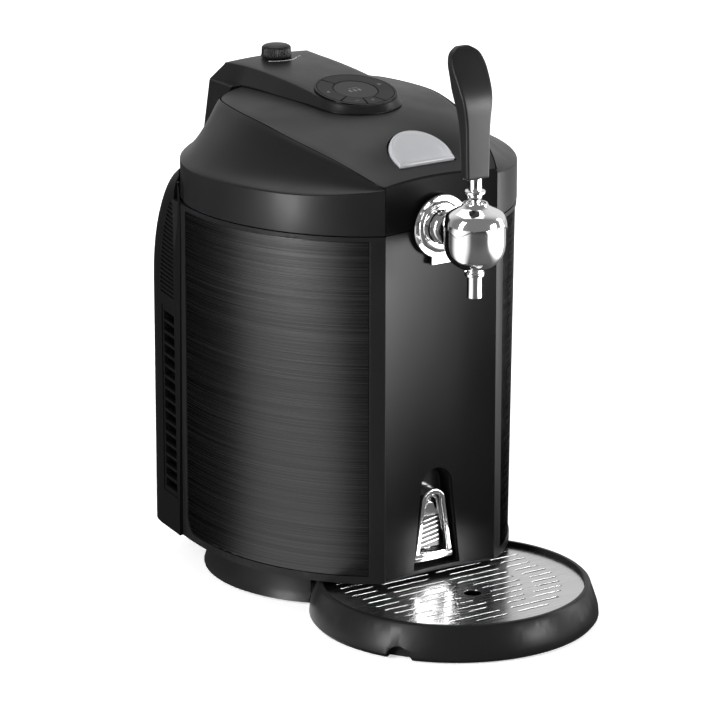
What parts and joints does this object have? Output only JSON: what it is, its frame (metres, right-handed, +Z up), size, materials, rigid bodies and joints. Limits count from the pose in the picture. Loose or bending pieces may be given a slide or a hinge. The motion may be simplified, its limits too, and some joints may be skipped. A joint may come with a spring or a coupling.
{
  "type": "mini keg beer dispenser",
  "caption": "Upright cooled beer dispenser for a mini keg: hinged domed lid with control pad, chrome front tap with paddle handle, bottle opener and round drip tray.",
  "frame": {"origin": "on the table under the middle of the whole machine's box", "axes": "+Z up, -Y to the front where the tap is, +X to the right seen from the front"},
  "size_m": [0.2708, 0.4126, 0.4682],
  "materials": {
    "black_plastic": "fine satin grain",
    "gloss_black": "high gloss",
    "black_steel": "black brushed",
    "grille_steel": "brushed",
    "chrome": "polished",
    "satin_silver": "satin",
    "handle_plastic": "satin",
    "key_plastic": "satin",
    "display": "gloss",
    "rubber": "matte",
    "liner": "satin",
    "foam": "foam",
    "inner_plastic": "matte",
    "aluminium": "milled",
    "ceramic": "matte",
    "board": "satin",
    "steel": "zinc plated",
    "brass": "satin",
    "cartridge": "satin",
    "hose": "satin"
  },
  "bodies": {
    "root": {"foot_base": "black_plastic", "rubber_feet": "rubber", "foot_screws": "steel", "body_housing": "black_plastic", "side_panel_right": "black_steel", "side_panel_left": "black_steel", "front_panel": "gloss_black", "top_deck": "inner_plastic", "chamber_liner": "liner", "insulation_jacket": "foam", "chamber_gasket": "rubber", "bottle_opener": "chrome", "opener_screws": "steel", "rear_cover": "black_plastic", "vent_grille_right": "black_plastic", "vent_grille_left": "black_plastic", "cold_block": "aluminium", "peltier_module": "ceramic", "heat_sink": "aluminium", "fan_frame": "inner_plastic", "power_inlet": "inner_plastic", "control_board": "board", "hinge_brackets": "steel", "hinge_pins": "steel", "tap_rosette": "chrome", "tap_shank": "chrome", "shank_nut": "chrome", "tap_body": "chrome", "lever_pin": "steel", "tap_spout": "chrome"},
    "lid": {"lid_shell": "black_plastic", "lid_cover": "black_plastic", "lid_front_plate": "gloss_black", "lid_liner": "inner_plastic", "lid_foam": "foam", "lid_screws": "steel", "pad_bezel": "gloss_black", "display_lens": "display", "key_springs": "steel", "latch_spring": "steel", "regulator_body": "brass", "co2_sleeve": "aluminium", "co2_cartridge": "cartridge", "gas_line": "steel", "keg_coupler": "inner_plastic", "beer_line": "hose"},
    "tap_lever": {"lever_stem": "chrome", "tap_handle": "handle_plastic"},
    "pressure_knob": {"pressure_knob": "black_plastic", "knob_spindle": "steel"},
    "key_left": {"key_left": "key_plastic"},
    "key_front_left": {"key_front_left": "key_plastic"},
    "key_front_right": {"key_front_right": "key_plastic"},
    "key_right": {"key_right": "key_plastic"},
    "release_button": {"release_button": "satin_silver"},
    "latch_hook": {"latch_hook": "inner_plastic"},
    "drip_tray": {"drip_tray": "black_plastic", "tray_grille": "grille_steel"},
    "fan_rotor": {"fan_rotor": "inner_plastic"},
    "co2_cap": {"co2_cap": "black_plastic"}
  },
  "joints": [
    {"name": "lid_hinge", "type": "hinge", "parent": "root", "child": "lid", "pos_m": [0, 0.1913, 0.329], "axis": [-1, 0, 0], "range_deg": [0, 100]},
    {"name": "tap_lever", "type": "hinge", "parent": "root", "child": "tap_lever", "pos_m": [0, -0.1151, 0.34], "axis": [1, 0, 0], "range_deg": [0, 25]},
    {"name": "pressure_knob", "type": "hinge", "parent": "lid", "child": "pressure_knob", "pos_m": [0, 0.1688, 0.408], "axis": [0, 0, 1], "range_deg": [0, 270]},
    {"name": "key_left_press", "type": "slide", "parent": "lid", "child": "key_left", "axis": [0, 0.1616, -0.9869], "range_m": [0, 0.0008], "stiffness_N_per_m": 400, "springref_m": -0.001},
    {"name": "key_front_left_press", "type": "slide", "parent": "lid", "child": "key_front_left", "axis": [0, 0.1616, -0.9869], "range_m": [0, 0.0008], "stiffness_N_per_m": 400, "springref_m": -0.001},
    {"name": "key_front_right_press", "type": "slide", "parent": "lid", "child": "key_front_right", "axis": [0, 0.1616, -0.9869], "range_m": [0, 0.0008], "stiffness_N_per_m": 400, "springref_m": -0.001},
    {"name": "key_right_press", "type": "slide", "parent": "lid", "child": "key_right", "axis": [0, 0.1616, -0.9869], "range_m": [0, 0.0008], "stiffness_N_per_m": 400, "springref_m": -0.001},
    {"name": "release_button", "type": "slide", "parent": "lid", "child": "release_button", "axis": [0, 0.515, -0.8572], "range_m": [0, 0.004], "stiffness_N_per_m": 600, "springref_m": -0.004, "deforming": ["latch_spring"]},
    {"name": "latch_slide", "type": "slide", "parent": "lid", "child": "latch_hook", "axis": [0, 1, 0], "range_m": [0, 0.004]},
    {"name": "tray_slide", "type": "slide", "parent": "root", "child": "drip_tray", "axis": [0, -1, 0], "range_m": [0, 0.12]},
    {"name": "fan_spin", "type": "hinge", "parent": "root", "child": "fan_rotor", "pos_m": [0, 0.1913, 0.17], "axis": [0, 1, 0], "continuous": true},
    {"name": "cap_turn", "type": "hinge", "parent": "lid", "child": "co2_cap", "pos_m": [0.032, 0.1963, 0.37], "axis": [0, -1, 0], "range_deg": [0, 90]}
  ],
  "couplings": [
    {"joint": "latch_slide", "follows": "release_button", "ratio": 1}
  ]
}
